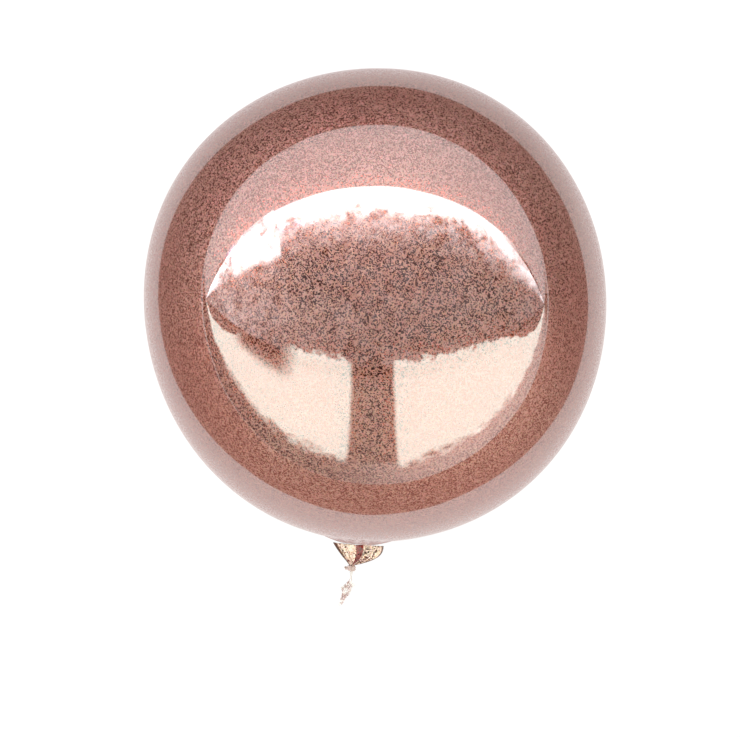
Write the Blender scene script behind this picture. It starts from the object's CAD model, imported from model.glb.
# %% [markdown]
# # A glitter sphere balloon
# This lesson dresses a balloon of metallised film. Its construction comes ready as a frame of plain
# solids: the inflated envelope, the film tab under it, the tie at the throat, and the end of the clear
# filling valve. The frame is loaded first, and everything made here is placed from it.

# %% Load the frame
import math

import bmesh
import bpy
from mathutils import Matrix, Vector, noise


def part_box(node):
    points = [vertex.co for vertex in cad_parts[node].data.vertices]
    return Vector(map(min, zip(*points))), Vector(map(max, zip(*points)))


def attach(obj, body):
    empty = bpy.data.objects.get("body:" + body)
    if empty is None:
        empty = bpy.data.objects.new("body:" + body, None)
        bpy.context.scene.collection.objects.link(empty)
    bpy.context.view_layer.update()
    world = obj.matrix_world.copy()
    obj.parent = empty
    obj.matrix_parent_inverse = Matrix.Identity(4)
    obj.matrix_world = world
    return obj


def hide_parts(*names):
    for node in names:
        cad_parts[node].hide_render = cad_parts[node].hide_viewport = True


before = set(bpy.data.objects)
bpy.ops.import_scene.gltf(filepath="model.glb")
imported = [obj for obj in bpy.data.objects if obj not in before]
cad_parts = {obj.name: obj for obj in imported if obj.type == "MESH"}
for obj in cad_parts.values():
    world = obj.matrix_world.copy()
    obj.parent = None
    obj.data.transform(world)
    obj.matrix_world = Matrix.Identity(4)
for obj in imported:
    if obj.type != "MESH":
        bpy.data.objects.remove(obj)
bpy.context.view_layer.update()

MM = 0.001
print("nodes:", sorted(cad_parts))

# %% [markdown]
# ## Helpers
# Colours are written as sRGB hex values, as a colour picker shows them. Blender's shaders want linear
# values, so one function turns them. A second one adds a shader node with its settings and links, which
# keeps each material readable as a short list of steps.


# %% Colour and node helpers
def colour(text, alpha=1.0):
    """An sRGB hex value as the linear RGBA that a shader socket takes."""
    channels = [int(text[i:i + 2], 16) / 255 for i in (1, 3, 5)]
    linear = [c / 12.92 if c <= 0.04045 else ((c + 0.055) / 1.055) ** 2.4 for c in channels]
    return (*linear, alpha)


def add_node(tree, kind, inputs=None, **settings):
    """One node: settings are its properties, and each input is a value or another node's output."""
    node = tree.nodes.new(kind)
    for name, value in settings.items():
        setattr(node, name, value)
    for name, value in (inputs or {}).items():
        socket = node.inputs[name]
        if isinstance(value, bpy.types.NodeSocket):
            tree.links.new(value, socket)
        else:
            socket.default_value = value
    return node


def new_material(name):
    """An empty node material and its tree."""
    material = bpy.data.materials.new(name)
    material.use_nodes = True
    material.node_tree.nodes.clear()
    return material, material.node_tree


def smoothstep(low, high, value):
    """0 below low, 1 above high, and a smooth ramp between them."""
    t = min(1.0, max(0.0, (value - low) / (high - low)))
    return t * t * (3 - 2 * t)


def mix(a, b, share):
    """The value that lies this share of the way from a to b."""
    return a + (b - a) * share


print("white is", colour("#ffffff"))

# %% [markdown]
# ## Places
# The balloon lies on its side, so its long axis is level and its tail points along -Y. The envelope's
# box gives its middle, and the other boxes give where the tab, the tie and the valve film begin and end.

# %% Places from the frame
env_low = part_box("envelope")[0]
tab_low, tab_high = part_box("tail_tab")
tie_low, tie_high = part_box("neck_tie")
film_low, film_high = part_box("valve_film")

# The frame's origin is under the tail's axis, and the neck's height is the body's rest height.
axis_height = (tie_low.z + tie_high.z) / 2
body_middle = Vector((0, 0, axis_height))
print("the tail's axis is", round(axis_height / MM, 2), "mm above the floor")

# %% [markdown]
# ## Camera
# The camera looks straight down at the lying balloon. It is rolled a little, because the tail hangs a
# few degrees off the upright. The small shift puts the balloon above the middle.

# %% Camera
camera_data = bpy.data.cameras.new("camera")
camera = bpy.data.objects.new("camera", camera_data)
bpy.context.scene.collection.objects.link(camera)
camera_distance = 2.0
frame_width = 608 * MM
roll = math.radians(4.07)
camera_data.sensor_width = 36
camera_data.lens = 36 * camera_distance / frame_width
camera.location = body_middle + Vector((0, 0, camera_distance))
camera.rotation_euler = (0, 0, roll)
camera_data.shift_x = -0.0074
camera_data.shift_y = -0.0872
bpy.context.scene.camera = camera
print("lens:", round(camera_data.lens, 1), "mm")

# %% [markdown]
# ## Stage and light
# A mirror-like film shows the room more than its own colour, so the room is part of the look. The floor
# is a plain white light table: it glows evenly, which gives the balloon its pale rim, and still takes a
# faint shadow. Two cloths lie on it, which only reflections see: a pale grey one under the balloon, and
# round it a reddish dark one, which gives the dark ring inside the rim. Both glow more towards the tail.


# %% Floor and cloth
def level_sheet(name, half_x, half_y, centre, height, material, squareness=2.0, reach=None, sides=160):
    """A level sheet with a rounded outline, marked as stage.

    With a reach, the outline is a hole instead, and the sheet runs outwards to this many times its size.
    """
    mesh = bpy.data.meshes.new(name)
    bm = bmesh.new()
    bmesh.ops.create_circle(bm, cap_ends=reach is None, segments=sides, radius=1.0)
    for vert in bm.verts:
        spread = (abs(vert.co.x) ** squareness + abs(vert.co.y) ** squareness) ** (1 / squareness)
        vert.co /= spread
    bmesh.ops.scale(bm, vec=(half_x, half_y, 1), verts=bm.verts)
    if reach:
        outer = bmesh.ops.extrude_edge_only(bm, edges=bm.edges)["geom"]
        rim = [v for v in outer if isinstance(v, bmesh.types.BMVert)]
        bmesh.ops.scale(bm, vec=(reach, reach, 1), verts=rim)
    bmesh.ops.translate(bm, vec=(centre[0], centre[1], height), verts=bm.verts)
    bm.to_mesh(mesh)
    bm.free()
    mesh.materials.append(material)
    sheet = bpy.data.objects.new(name, mesh)
    bpy.context.scene.collection.objects.link(sheet)
    return sheet


def glowing_sheet(name, hex_value, glow, glow_tint="#ffffff", tail_glow=None):
    """A matt surface that also glows by itself, as a light table does, and more so towards the tail."""
    material, tree = new_material(name)
    place = add_node(tree, "ShaderNodeTexCoord")
    tailward = add_node(tree, "ShaderNodeSeparateXYZ", {0: place.outputs["Object"]}).outputs["Y"]
    strength = add_node(
        tree, "ShaderNodeMapRange",
        {"Value": tailward, "From Min": 0.4, "From Max": -0.7, "To Min": glow, "To Max": tail_glow or glow},
    )
    surface = add_node(
        tree, "ShaderNodeBsdfPrincipled",
        {"Base Color": colour(hex_value), "Roughness": 0.9, "Specular IOR Level": 0.2,
         "Emission Color": colour(glow_tint), "Emission Strength": strength.outputs[0]},
    )
    add_node(tree, "ShaderNodeOutputMaterial", {"Surface": surface.outputs[0]})
    return material


floor = level_sheet("floor", 8, 8, (0, 0), -1 * MM, glowing_sheet("white light table", "#6f6f6f", 0.82))
inner_cloth = level_sheet(
    "pale_cloth", 0.51, 0.62, (0.03, -0.09), -0.5 * MM,
    glowing_sheet("pale grey cloth", "#8a8583", 0.34, "#fff0f2", 0.72), squareness=3,
)
outer_cloth = level_sheet(
    "dark_cloth", 0.475, 0.59, (0.03, -0.09), -0.3 * MM,
    glowing_sheet("dark cloth", "#1c1615", 0.22, "#ffb09c", 0.6), squareness=3, reach=12,
)
for cloth in (inner_cloth, outer_cloth):
    cloth.visible_camera = cloth.visible_diffuse = cloth.visible_shadow = False
print("stage:", floor.name, inner_cloth.name, outer_cloth.name)

# %% [markdown]
# The rest of the room is drawn in the world shader, as a long room that lies on its side: +Y is its
# ceiling. Every direction gets an angle in the room, from straight up at the camera (0) towards the
# ceiling (90 degrees) or towards the ground (-90 degrees), and a place along the room. Each light is a
# band of that angle: a dim ceiling, a bright strip under its edge, a window and some blossom at the left
# end, dark greenery, and bright ground with a plain gap in the middle. The camera itself sees a plain
# pale backdrop instead.


# %% Room helpers
deg = math.radians


def overlap(tree, *masks):
    """The product of the masks: bright only where all of them are."""
    product = masks[0]
    for mask in masks[1:]:
        product = add_node(tree, "ShaderNodeMath", {0: product, 1: mask}, operation="MULTIPLY").outputs[0]
    return product


def shifted(tree, value, mask, amount):
    """The value, moved by this amount where the mask is 1."""
    settings = {0: mask, 1: amount, 2: value}
    return add_node(tree, "ShaderNodeMath", settings, operation="MULTIPLY_ADD").outputs[0]


def ramp(tree, value, start, end, low=0.0, high=1.0):
    """A smooth ramp from low, where the value is start, to high, where it is end."""
    node = add_node(
        tree, "ShaderNodeMapRange",
        {"Value": value, "From Min": start, "From Max": end, "To Min": low, "To Max": high},
        interpolation_type="SMOOTHSTEP",
    )
    return node.outputs[0]


def band(tree, value, low, high, soft_low, soft_high):
    """1 between low and high, with a smooth edge of the given width round each end."""
    rise = ramp(tree, value, low - soft_low / 2, low + soft_low / 2)
    fall = ramp(tree, value, high - soft_high / 2, high + soft_high / 2, 1.0, 0.0)
    return overlap(tree, rise, fall)


def mottle(tree, direction, size, contrast, distortion=0.4):
    """Noise over the room's directions, from 0 to 1, with patches this many radians across."""
    pattern = add_node(
        tree, "ShaderNodeTexNoise",
        {"Vector": direction, "Scale": 0.5 / size, "Detail": 3.0, "Roughness": 0.6,
         "Distortion": distortion},
    )
    return ramp(tree, pattern.outputs["Fac"], 0.5 - contrast, 0.5 + contrast)


# %% Room
def room_lights(tree):
    """Each part of the room as its mask over the directions, its tint and its radiance."""
    place = add_node(tree, "ShaderNodeTexCoord")
    direction = add_node(
        tree, "ShaderNodeVectorRotate", {"Vector": place.outputs["Object"], "Angle": -roll},
        rotation_type="Z_AXIS",
    ).outputs[0]
    along, up, front = add_node(tree, "ShaderNodeSeparateXYZ", {0: direction}).outputs
    angle = add_node(tree, "ShaderNodeMath", {0: up, 1: front}, operation="ARCTAN2").outputs[0]
    leaves = mottle(tree, direction, deg(2.2), 0.16)
    boughs = mottle(tree, direction, deg(9), 0.2)

    # The bands bend a little towards the two ends of the room.
    end = add_node(tree, "ShaderNodeMath", {0: along}, operation="ABSOLUTE").outputs[0]
    far = add_node(tree, "ShaderNodeMath", {0: end, 1: 4.0}, operation="POWER").outputs[0]
    very_far = add_node(tree, "ShaderNodeMath", {0: end, 1: 20.0}, operation="POWER").outputs[0]
    upper = shifted(tree, angle, far, -deg(4))
    ceiling_end = shifted(tree, shifted(tree, upper, leaves, deg(4)), boughs, deg(10))
    ceiling = overlap(
        tree, ramp(tree, upper, deg(53), deg(54)), ramp(tree, ceiling_end, deg(114), deg(98)),
    )
    strip_end = shifted(tree, shifted(tree, upper, leaves, deg(2)), boughs, deg(7))
    strip = overlap(
        tree, band(tree, along, -0.72, 0.9, 0.1, 0.16), ramp(tree, strip_end, deg(42), deg(50)),
        ramp(tree, upper, deg(54), deg(53)),
    )

    # At the left end there is a window with two panes, and blossom round it.
    lower_pane = band(tree, angle, deg(24), deg(43), 0.12, 0.03)
    upper_pane = band(tree, angle, deg(46), deg(56), 0.03, 0.03)
    panes = add_node(tree, "ShaderNodeMath", {0: lower_pane, 1: upper_pane}, operation="ADD").outputs[0]
    window = overlap(
        tree, band(tree, along, -0.93, -0.705, 0.05, 0.015), shifted(tree, 0.6, leaves, 0.4), panes,
    )
    blossom = overlap(
        tree, band(tree, along, -0.955, -0.5, 0.03, 0.12), band(tree, upper, deg(38), deg(54), 0.06, 0.03),
        leaves,
    )

    # The greenery is lighter under the strip and towards the left end.
    greenery = add_node(tree, "ShaderNodeMath", {0: leaves, 1: boughs}, operation="ADD").outputs[0]
    trees = overlap(
        tree, band(tree, angle, deg(-28), deg(53), 0.05, 0.03), greenery,
        ramp(tree, angle, deg(20), deg(46), 1.0, 9.0), ramp(tree, along, -0.6, -0.9, 1.0, 3.0),
    )

    # The ground has a gap in the middle, and a dark bush stands on it at the left.
    off_middle = add_node(tree, "ShaderNodeMath", {0: along, 1: 0.03}, operation="ADD").outputs[0]
    beside = add_node(tree, "ShaderNodeMath", {0: off_middle}, operation="ABSOLUTE").outputs[0]
    bush = overlap(
        tree, band(tree, along, -0.93, -0.66, 0.06, 0.16), band(tree, angle, deg(-42), deg(-20), 0.2, 0.1),
    )
    ground_top = shifted(tree, shifted(tree, angle, leaves, deg(4)), very_far, deg(40))
    ground_end = shifted(tree, shifted(tree, angle, leaves, deg(3)), boughs, deg(5))
    ground = overlap(
        tree, ramp(tree, beside, 0.15, 0.19), shifted(tree, 1.0, bush, -1.0),
        ramp(tree, ground_top, deg(-22), deg(-25)), ramp(tree, ground_end, deg(-77), deg(-70)),
    )
    paving = overlap(
        tree, ramp(tree, along, -0.5, 0.6), band(tree, angle, deg(-108), deg(-78), 0.2, 0.05),
    )
    shade = band(tree, angle, deg(-95), deg(-34), 0.3, 0.05)
    return [
        (ceiling, "#fffafb", 1.4), (strip, "#ffffff", 6.0),
        (window, "#fbfdff", 4.5), (blossom, "#dccdf2", 2.6),
        (trees, "#f6f3f6", 0.35), (ground, "#f2fff4", 3.3), (paving, "#fff4f0", 1.1), (shade, "#ffeee8", 0.3),
    ]


def make_room():
    """The world: the room for lighting and reflections, and a plain backdrop for the camera."""
    world = bpy.data.worlds.new("room")
    bpy.context.scene.world = world
    world.use_nodes = True
    tree = world.node_tree
    tree.nodes.clear()
    total = (0.03, 0.025, 0.024)  # a little light from everywhere
    for mask, tint, radiance in room_lights(tree):
        shine = add_node(
            tree, "ShaderNodeVectorMath",
            {0: colour(tint)[:3], "Scale": overlap(tree, mask, radiance)}, operation="SCALE",
        )
        total = add_node(tree, "ShaderNodeVectorMath", {0: total, 1: shine.outputs[0]}).outputs[0]
    room = add_node(tree, "ShaderNodeBackground", {"Color": total, "Strength": 1.0})
    plain = add_node(tree, "ShaderNodeBackground", {"Color": (1, 1, 1, 1), "Strength": 1.0})
    path = add_node(tree, "ShaderNodeLightPath")
    shown = add_node(
        tree, "ShaderNodeMixShader",
        {0: path.outputs["Is Camera Ray"], 1: room.outputs[0], 2: plain.outputs[0]},
    )
    add_node(tree, "ShaderNodeOutputWorld", {"Surface": shown.outputs[0]})
    return world


print("the room is the world", make_room().name)
bpy.context.scene.view_settings.view_transform = "Standard"

# %% [markdown]
# ## Mesh helpers
# A new piece starts as a bmesh, is shaped there, and then becomes an object that sits at the origin with
# its place in its vertices. The smooth film pieces are shaded smooth.


# %% Mesh helpers
def to_object(name, bm, material, smooth=True):
    """The bmesh as an object at the origin, with its doubles merged and its faces pointing out."""
    bmesh.ops.remove_doubles(bm, verts=bm.verts, dist=0.0005 * MM)
    bmesh.ops.recalc_face_normals(bm, faces=bm.faces)
    for face in bm.faces:
        face.smooth = smooth
    mesh = bpy.data.meshes.new(name)
    bm.to_mesh(mesh)
    bm.free()
    mesh.materials.append(material)
    made = bpy.data.objects.new(name, mesh)
    bpy.context.scene.collection.objects.link(made)
    return made


def film_noise(point, size, seed=0.0):
    """Smooth noise from -1 to 1 whose bumps are about this many metres across."""
    return noise.noise(point / size + Vector((seed, -seed, 0.37 * seed)))


# %% [markdown]
# ## Glitter film
# The balloon is PET film with a rose-gold metal coat, printed with fine holographic glitter under a
# clear gloss layer. The flecks are of two kinds. Some lie flat and mirror the room sharply, with a deep
# tint, and the others lean and scatter what light comes from all round. That gives a strong grain where
# the room is dark, and little where it is bright. The clear layer on top keeps big highlights crisp.
# Voronoi cells give the flecks: every cell carries random values, which choose its kind and its tilt.
# Real flecks are 0.2 to 0.4 mm across. They are drawn 0.85 mm wide, and 1.05 mm on the tab, because
# finer ones would not show at this distance. The clear layer carries the holographic print on a zinc
# sulphide coat here, whose index is about 2.4, so it mirrors far more than plain lacquer does.


# %% Glitter film material
def glitter_film(
    name, pale, warm, deep, fleck_size, mirror_share=0.42, flat_tilt=0.08, steep_tilt=0.32,
    gloss=1.0, shade=None,
):
    """Metallised film with glitter.

    mirror_share of the flecks lie flat, mirror sharply and have the deep tint. The others lean and
    scatter, and their tint drifts between pale and warm. gloss is the strength of the clear layer, and
    shade may darken the tint in places.
    """
    material, tree = new_material(name)
    place = add_node(tree, "ShaderNodeTexCoord")
    cells = add_node(
        tree, "ShaderNodeTexVoronoi", {"Vector": place.outputs["Object"], "Scale": 1 / fleck_size},
        voronoi_dimensions="3D", feature="F1",
    )
    picker = add_node(
        tree, "ShaderNodeTexWhiteNoise", {"Vector": cells.outputs["Position"]}, noise_dimensions="3D",
    )
    # 0 for a fleck that mirrors, 1 for one that scatters.
    scatters = ramp(tree, picker.outputs["Value"], mirror_share - 0.1, mirror_share + 0.1)
    # One random direction per fleck, from -1 to 1 on each axis.
    lean = add_node(
        tree, "ShaderNodeVectorMath", {0: cells.outputs["Color"], 1: (2, 2, 2), 2: (-1, -1, -1)},
        operation="MULTIPLY_ADD",
    )
    tilt = shifted(tree, flat_tilt, scatters, steep_tilt - flat_tilt)
    turned = add_node(tree, "ShaderNodeVectorMath", {0: lean.outputs[0], "Scale": tilt}, operation="SCALE")
    surface = add_node(tree, "ShaderNodeNewGeometry")
    summed = add_node(
        tree, "ShaderNodeVectorMath", {0: surface.outputs["Normal"], 1: turned.outputs[0]}, operation="ADD",
    )
    fleck_normal = add_node(tree, "ShaderNodeVectorMath", {0: summed.outputs[0]}, operation="NORMALIZE")
    # Tint: broad clouds of a warmer tone in the leaning flecks, and the deep tint in the flat ones.
    clouds = add_node(
        tree, "ShaderNodeTexNoise", {"Vector": place.outputs["Object"], "Scale": 9.0, "Detail": 2.0},
    )
    cloudy = ramp(tree, clouds.outputs["Fac"], 0.35, 0.65)
    drifting = add_node(
        tree, "ShaderNodeMix", {"Factor": cloudy, "A": colour(pale), "B": colour(warm)}, data_type="RGBA",
    )
    flecked = add_node(
        tree, "ShaderNodeMix", {"Factor": scatters, "A": colour(deep), "B": drifting.outputs["Result"]},
        data_type="RGBA",
    )
    # Holographic print: a faint rainbow tint that differs from fleck to fleck.
    rainbow = add_node(
        tree, "ShaderNodeMix",
        {"Factor": 0.12, "A": flecked.outputs["Result"], "B": cells.outputs["Color"]},
        data_type="RGBA", blend_type="OVERLAY",
    )
    tint = shade(tree, rainbow.outputs["Result"]) if shade else rainbow.outputs["Result"]
    film = add_node(
        tree, "ShaderNodeBsdfPrincipled",
        {"Base Color": tint, "Metallic": 1.0,
         "Roughness": shifted(tree, 0.1, scatters, 0.48),
         "Normal": fleck_normal.outputs[0], "Coat Weight": gloss, "Coat Roughness": 0.03, "Coat IOR": 2.4},
    )
    add_node(tree, "ShaderNodeOutputMaterial", {"Surface": film.outputs[0]})
    return material


rose_film = glitter_film("rose gold glitter film", "#aa8073", "#a6766a", "#763a2b", 0.85 * MM)
print("made", rose_film.name)

# %% [markdown]
# ## Envelope
# The film is drawn tight by the gas into an almost perfect sphere, a little longer than it is wide and a
# little fuller at the tail. A profile is spun about the tail's axis, with its points closer together at
# the neck, and then every vertex is moved out to the body's own radius. Spinning gives clean rows, where
# a subdivided cube would leave the neck too coarse. The film is not perfectly even: it has a very slight
# waviness, small puckers where it is gathered at the neck, and it lies flat on its rest spot.

# %% Envelope form
body_width = 378 * MM
body_height = 387 * MM
long_axis_turn = math.radians(12)
egg_shape = 0.8 * MM
shoulders = 0.85 * MM
neck_foot = 30 * MM
neck_half_width = 13 * MM
neck_half_depth = 5.5 * MM
neck_end = -env_low.y

mean_radius = (body_width + body_height) / 4 + shoulders
oblong = (body_height - body_width) / 4
crown = Vector((-math.sin(long_axis_turn), math.cos(long_axis_turn), 0))


def body_radius(angle):
    """The body's radius in the direction that makes this angle with its long axis."""
    return (mean_radius + oblong * math.cos(2 * angle)
            - egg_shape * math.cos(3 * angle) - shoulders * math.cos(4 * angle))


tail_pole = body_radius(math.pi - long_axis_turn)
neck_reach = neck_end - tail_pole
print("the neck is drawn out by", round(neck_reach / MM, 2), "mm")


# %% Envelope mesh
def film_point(direction):
    """Where the film is in this direction from the body's middle, with the neck towards -Y."""
    ripple = 0.10 * MM * film_noise(direction, 0.32, 3) + 0.04 * MM * film_noise(direction, 0.13, 8)
    point = direction * (body_radius(direction.angle(crown)) + ripple)
    from_tail = direction.angle(Vector((0, -1, 0)))
    ring = tail_pole * math.sin(min(from_tail, math.pi / 2))
    end_ring = math.sqrt(neck_half_width * neck_half_depth)
    near = min(1.0, max(0.0, (neck_foot - ring) / (neck_foot - end_ring)))
    # Puckers run out from the neck and fade: uneven pleats round the tail's axis.
    around = math.atan2(point.z, point.x)
    uneven = 1.6 * noise.noise(Vector((math.cos(around), math.sin(around), 0.3)) * 1.7)
    pleat = math.cos(15 * around + 2.2 * uneven)
    fade = smoothstep(4 * MM, 14 * MM, ring) * (1 - smoothstep(14 * MM, 62 * MM, ring))
    point += direction * 0.34 * MM * fade * pleat * (1 + 0.5 * uneven)
    point.x *= mix(1, neck_half_width / end_ring, near)
    point.z *= mix(1, neck_half_depth / end_ring, near)
    if ring < end_ring:
        point.y = -neck_end
    else:
        point.y -= neck_reach * near ** 2
    return point


def rest_on_floor(height):
    """Keeps a height above the floor, with a small round transition where the film lifts off."""
    softness = 0.35 * MM
    return (height + math.sqrt(height * height + softness * softness)) / 2


def make_envelope(material, around=320, neck_rows=44, body_rows=118):
    bm = bmesh.new()
    neck_angle = math.radians(16)
    angles = [neck_angle * (i / neck_rows) for i in range(neck_rows)]
    angles += [mix(neck_angle, math.pi, i / body_rows) for i in range(body_rows + 1)]
    profile = [bm.verts.new((math.sin(a), -math.cos(a), 0)) for a in angles]
    profile[0].co.x = profile[-1].co.x = 0
    edges = [bm.edges.new(pair) for pair in zip(profile, profile[1:])]
    bmesh.ops.spin(
        bm, geom=profile + edges, cent=(0, 0, 0), axis=(0, 1, 0), angle=2 * math.pi,
        steps=around, use_merge=True,
    )
    bmesh.ops.remove_doubles(bm, verts=bm.verts, dist=1e-5)
    for vert in bm.verts:
        place = body_middle + film_point(vert.co.normalized())
        place.z = rest_on_floor(place.z)
        vert.co = place
    return to_object("balloon_skin", bm, material)


skin = make_envelope(rose_film)
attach(skin, "root")
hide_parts("envelope")
print(skin.name, len(skin.data.polygons), "faces")

# %% [markdown]
# ## Film tab
# Under the neck the two layers of film lie together as a flat tab with heat-sealed edges. Here it is
# gathered to a throat, so broad pleats at the neck run together into small, tight folds. A grid is
# reshaped by one rule: a row's ends follow the tab's outline, and its height is the sum of the broad
# pleats and of the small folds, which take over towards the throat. Solidify gives it its thickness. The
# grid's own map tells the material where the steep red fold and the two brown sealed edges run.

# %% Tab form
tab_length = 17.2 * MM
pleat_depth = 5 * MM
throat_radius = 2.2 * MM
throat_x = -4.1 * MM
film_thickness = 0.5 * MM
pleats = [
    (-1, -0.3), (-0.84, 0.3), (-0.5, 0.25), (-0.1, 0.8), (0.2, -0.15), (0.5, 0.1), (0.86, 0.3), (1, -0.1),
]


def pleat_height(place):
    """Height of the broad pleats at this place across the tab, from -1 to 1, as a share of their depth."""
    for (a, low), (b, high) in zip(pleats, pleats[1:]):
        if place <= b:
            return mix(low, high, (place - a) / (b - a))
    return pleats[-1][1]


def zigzag(turns):
    """A fold line: goes up and down between -1 and 1 once per turn."""
    return 4 * abs(turns - math.floor(turns + 0.5)) - 1


def tab_point(place, along):
    """A point of the tab: place runs across it from -1 to 1, along from the neck (0) to its end (1)."""
    y = mix(tab_high.y, tab_low.y, along)
    gather = min(1.0, (tab_high.y - y) / tab_length)
    left = mix(tab_low.x, throat_x - throat_radius, gather ** 1.15)
    right = mix(tab_high.x, throat_x + throat_radius, gather ** 2.8)
    broad = sum(pleat_height(place + d) for d in (-0.03, 0, 0.03)) / 3 * pleat_depth * (1 - gather)
    wander = 0.25 * noise.noise(Vector((place * 2.1, along * 1.4, 4)))
    folds = zigzag(4.3 * (place + wander) + 0.2)
    small = folds * mix(0.1 * MM, throat_radius * 0.72 * math.sqrt(1.04 - place * place), gather ** 2.6)
    crumple = 0.22 * MM * (1 - gather) * noise.noise(Vector((place * 5, along * 4, 9)))
    lean = 2.6 * MM * (1 - gather) * (1 - abs(place)) ** 0.5
    return Vector((mix(left, right, (place + 1) / 2), y, axis_height + broad + small + crumple + lean))


# %% Tab mesh
def solidify(piece, thickness, offset=0.0):
    """Gives a sheet its thickness, and applies it."""
    wall = piece.modifiers.new("wall", "SOLIDIFY")
    wall.thickness = thickness
    wall.offset = offset
    apply_modifiers(piece)


def apply_modifiers(piece):
    """Replaces the piece's mesh by what its modifiers make of it."""
    graph = bpy.context.evaluated_depsgraph_get()
    made = bpy.data.meshes.new_from_object(piece.evaluated_get(graph))
    piece.modifiers.clear()
    piece.data = made


def make_tab(material, across=150, rows=76):
    bm = bmesh.new()
    bmesh.ops.create_grid(bm, x_segments=across, y_segments=rows, size=1.0)
    sheet = bm.loops.layers.uv.new("sheet")
    for face in bm.faces:
        for loop in face.loops:
            loop[sheet].uv = ((1 + loop.vert.co.x) / 2, (1 - loop.vert.co.y) / 2)
    for vert in bm.verts:
        vert.co = tab_point(vert.co.x, (1 - vert.co.y) / 2)
    tab = to_object("film_tab", bm, material)
    solidify(tab, film_thickness)
    return tab


# %% Tab film
def fold_shade(tree, tint):
    """The tint, deep red on the steep fold in the middle and brown along the two sealed edges."""
    sheet = add_node(tree, "ShaderNodeUVMap", uv_map="sheet").outputs[0]
    across, down, _ = add_node(tree, "ShaderNodeSeparateXYZ", {0: sheet}).outputs
    slanting = shifted(tree, across, down, 0.1)
    steep = band(tree, slanting, 0.45, 0.6, 0.03, 0.03)
    left_seal = ramp(tree, across, 0.1, 0.05)
    right_seal = ramp(tree, across, 0.955, 0.975)
    seal = add_node(tree, "ShaderNodeMath", {0: left_seal, 1: right_seal}, operation="ADD").outputs[0]
    for mask, shadow in ((steep, "#8e342e"), (seal, "#7c6256")):
        tint = add_node(
            tree, "ShaderNodeMix", {"Factor": mask, "A": tint, "B": colour(shadow)},
            data_type="RGBA", blend_type="MULTIPLY",
        ).outputs["Result"]
    return tint


tab_film = glitter_film(
    "rose gold tab film", "#e8cfc6", "#e4cab8", "#7d5240", 1.05 * MM,
    mirror_share=0.3, gloss=0.2, shade=fold_shade,
)
tab = make_tab(tab_film)
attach(tab, "root")
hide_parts("tail_tab")
print(tab.name, len(tab.data.polygons), "faces")

# %% [markdown]
# ## Neck tie
# The throat is bound with a few turns of clear elastic thread, pulled tight and knotted at one side. A
# spin with a step along its axis winds the thread as a real helix. The knot is a small overhand knot: a
# curve through a trefoil, whose formula needs no list of points.

# %% Tie
thread_radius = 0.5 * MM
winding_radius = throat_radius + 0.35 * MM + thread_radius
tie_middle = Vector((throat_x, (tie_low.y + tie_high.y) / 2, axis_height))


def wind_thread(material, turns=3.4, sides=12):
    """The thread's turns, wound as a helix round the throat."""
    bm = bmesh.new()
    pitch = 2.02 * thread_radius
    start = tie_middle + Vector((-winding_radius, pitch * turns / 2, 0))
    ring = bmesh.ops.create_circle(bm, cap_ends=True, segments=sides, radius=thread_radius)["verts"]
    bmesh.ops.rotate(bm, cent=(0, 0, 0), matrix=Matrix.Rotation(0.09, 3, "X"), verts=ring)
    bmesh.ops.translate(bm, vec=start, verts=ring)
    steps = int(40 * turns)
    geometry = bm.verts[:] + bm.edges[:] + bm.faces[:]
    bmesh.ops.spin(
        bm, geom=geometry, cent=tie_middle, axis=(0, 1, 0), dvec=(0, -pitch * turns / steps, 0),
        angle=2 * math.pi * turns, steps=steps, use_duplicate=False,
    )
    return to_object("tie_thread", bm, material)


def make_knot(name, centre, size, thickness, material, steps=120):
    """An overhand knot: a tube along a trefoil curve, turned into a mesh in its place."""
    curve = bpy.data.curves.new(name, "CURVE")
    curve.dimensions = "3D"
    curve.bevel_depth = thickness
    curve.bevel_resolution = 3
    line = curve.splines.new("POLY")
    line.points.add(steps - 1)
    line.use_cyclic_u = True
    for i, point in enumerate(line.points):
        t = 2 * math.pi * i / steps
        x = math.sin(t) + 2 * math.sin(2 * t)
        z = math.cos(t) - 2 * math.cos(2 * t)
        point.co = (*(centre + Vector((x, z, -1.4 * math.sin(3 * t))) * size / 3), 1)
    temporary = bpy.data.objects.new(name, curve)
    bpy.context.scene.collection.objects.link(temporary)
    mesh = bpy.data.meshes.new_from_object(temporary.evaluated_get(bpy.context.evaluated_depsgraph_get()))
    bpy.data.objects.remove(temporary)
    for polygon in mesh.polygons:
        polygon.use_smooth = True
    mesh.materials.clear()
    mesh.materials.append(material)
    knot = bpy.data.objects.new(name, mesh)
    bpy.context.scene.collection.objects.link(knot)
    return knot


def clear_thread():
    material, tree = new_material("clear elastic thread")
    place = add_node(tree, "ShaderNodeTexCoord")
    streaks = add_node(
        tree, "ShaderNodeTexNoise", {"Vector": place.outputs["Object"], "Scale": 900.0, "Detail": 3.0},
    )
    tint = add_node(
        tree, "ShaderNodeMix",
        {"Factor": streaks.outputs["Fac"], "A": colour("#d9b9ae"), "B": colour("#efdfd8")}, data_type="RGBA",
    )
    dull = add_node(
        tree, "ShaderNodeMapRange", {"Value": streaks.outputs["Fac"], "To Min": 0.15, "To Max": 0.35},
    )
    surface = add_node(
        tree, "ShaderNodeBsdfPrincipled",
        {"Base Color": tint.outputs["Result"], "Roughness": dull.outputs[0], "IOR": 1.5,
         "Transmission Weight": 0.4, "Coat Weight": 0.6, "Coat Roughness": 0.08},
    )
    add_node(tree, "ShaderNodeOutputMaterial", {"Surface": surface.outputs[0]})
    return material


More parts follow.
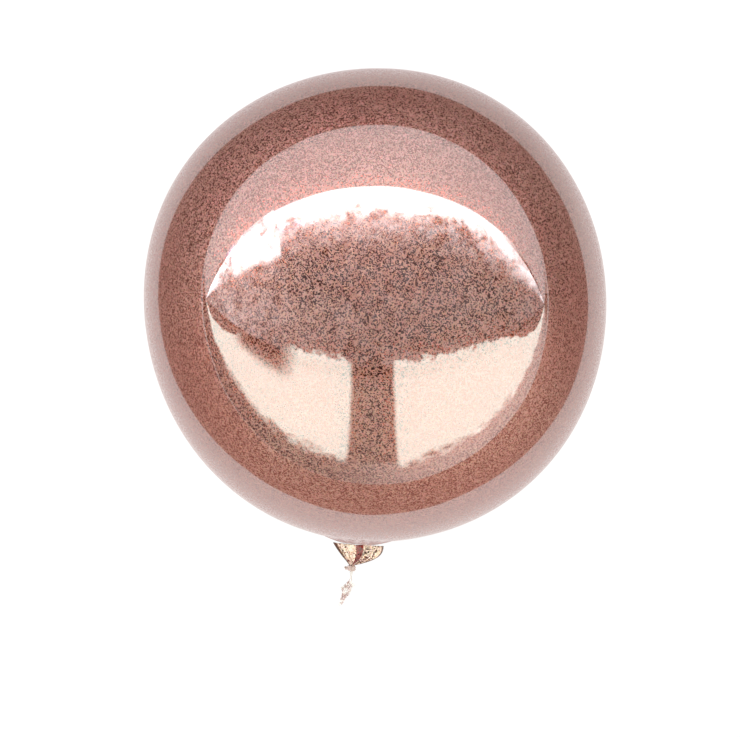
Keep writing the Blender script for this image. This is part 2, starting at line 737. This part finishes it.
thread = clear_thread()
tie = wind_thread(thread)
knot_middle = tie_middle + Vector((-winding_radius - 1.5 * MM, 0, 0.2 * MM))
knot = make_knot("tie_knot", knot_middle, 1.25 * MM, 0.42 * MM, thread)
for piece in (tie, knot):
    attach(piece, "root")
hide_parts("neck_tie")
print(tie.name, len(tie.data.polygons), "faces;", knot.name, len(knot.data.polygons), "faces")

# %% [markdown]
# ## Valve film
# The filling valve is two strips of thin clear film. Its free end comes out under the tie, twisted tight
# by the binding, and opens into a crumpled leaf. A ribbon is twisted and creased by one rule. Sharp
# creases come from folding a smooth noise at its middle, which is what crumpled film looks like.

# %% Valve film
stalk_end = 0.16
leaf_start = 0.42


def ridge(point):
    """Creased noise: smooth noise folded at its middle, from 0 at a crease to 1."""
    return abs(noise.noise(point)) * 2


def hump(value, middle, width):
    """1 at the middle, falling smoothly to 0 at this distance from it."""
    return 1 - smoothstep(0, width, abs(value - middle))


def film_ribbon_point(side, along):
    """A point of the ribbon: side runs across it from -1 to 1, along from the tie (0) to its tip (1)."""
    opened = smoothstep(stalk_end, leaf_start, along)
    taper = 1 - 0.66 * smoothstep(0.5, 1, along)
    # One lobe stands out to the right near the stalk, and another to the left below it.
    lobes = 0.3 * hump(along, 0.38, 0.12) if side > 0 else 0.45 * hump(along, 0.5, 0.14)
    ragged = 0.85 + lobes + 0.2 * noise.noise(Vector((along * 7, side * 0.8, 2)))
    stalk_half = 1.15 * MM * (1 - 0.45 * smoothstep(0, stalk_end, along))
    half_width = mix(stalk_half, 4.1 * MM * taper * ragged, opened)
    # In the stalk the ribbon is rolled into a tight twist, and in the leaf it lies open.
    roll_angle = (1 - opened) * side * math.pi * 0.92
    across = half_width * mix(math.sin(roll_angle) if opened < 1 else 0, side, opened)
    height = half_width * (1 - opened) * math.cos(roll_angle)
    crease = ridge(Vector((side * 1.1 + 0.7, along * 4.2, 6)))
    crease += 0.25 * ridge(Vector((side * 2.5, along * 9, 1)))
    height += opened * taper * 1.5 * MM * (crease - 0.55)
    turn = 0.9 * along - 0.4 + 3.0 * (1 - opened) * along / leaf_start
    lean = (throat_x - film_low.x - 1.6 * MM) * max(0.0, (along - 0.2) / 0.8) ** 1.3
    x = throat_x + across * math.cos(turn) - height * math.sin(turn) - lean
    z = axis_height + across * math.sin(turn) + height * math.cos(turn)
    return Vector((x, mix(film_high.y, film_low.y, along), z))


def make_valve_film(material, across=44, rows=150):
    bm = bmesh.new()
    bmesh.ops.create_grid(bm, x_segments=across, y_segments=rows, size=1.0)
    for vert in bm.verts:
        vert.co = film_ribbon_point(vert.co.x, (1 - vert.co.y) / 2)
    film = to_object("valve_film_end", bm, material)
    solidify(film, 0.16 * MM)
    return film


def clear_film():
    """Thin clear film: almost unseen where it is smooth, denser and pinker along its creases."""
    material, tree = new_material("clear valve film")
    place = add_node(tree, "ShaderNodeTexCoord")
    crumple = add_node(
        tree, "ShaderNodeTexNoise", {"Vector": place.outputs["Object"], "Scale": 150.0, "Detail": 2.0},
    )
    off_middle = shifted(tree, -0.5, crumple.outputs["Fac"], 1.0)
    off_crease = add_node(tree, "ShaderNodeMath", {0: off_middle}, operation="ABSOLUTE").outputs[0]
    crease = ramp(tree, off_crease, 0.1, 0.0)
    tint = add_node(
        tree, "ShaderNodeMix",
        {"Factor": crease, "A": colour("#ece2da"), "B": colour("#b8968e")}, data_type="RGBA",
    )
    surface = add_node(
        tree, "ShaderNodeBsdfPrincipled",
        {"Base Color": tint.outputs["Result"], "Roughness": 0.12, "IOR": 1.5,
         "Alpha": shifted(tree, 0.4, crease, 0.4), "Coat Weight": 0.6, "Coat Roughness": 0.03},
    )
    add_node(tree, "ShaderNodeOutputMaterial", {"Surface": surface.outputs[0]})
    return material


valve = make_valve_film(clear_film())
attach(valve, "root")
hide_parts("valve_film")
print(valve.name, len(valve.data.polygons), "faces")

# %% [markdown]
# The small pieces at the tail are kept out of mirror images, which would show them a second time in the
# skin just above the tab.

# %% Mirror images
for piece in (tab, tie, knot, valve):
    piece.visible_glossy = False
print("not mirrored:", [piece.name for piece in (tab, tie, knot, valve)])
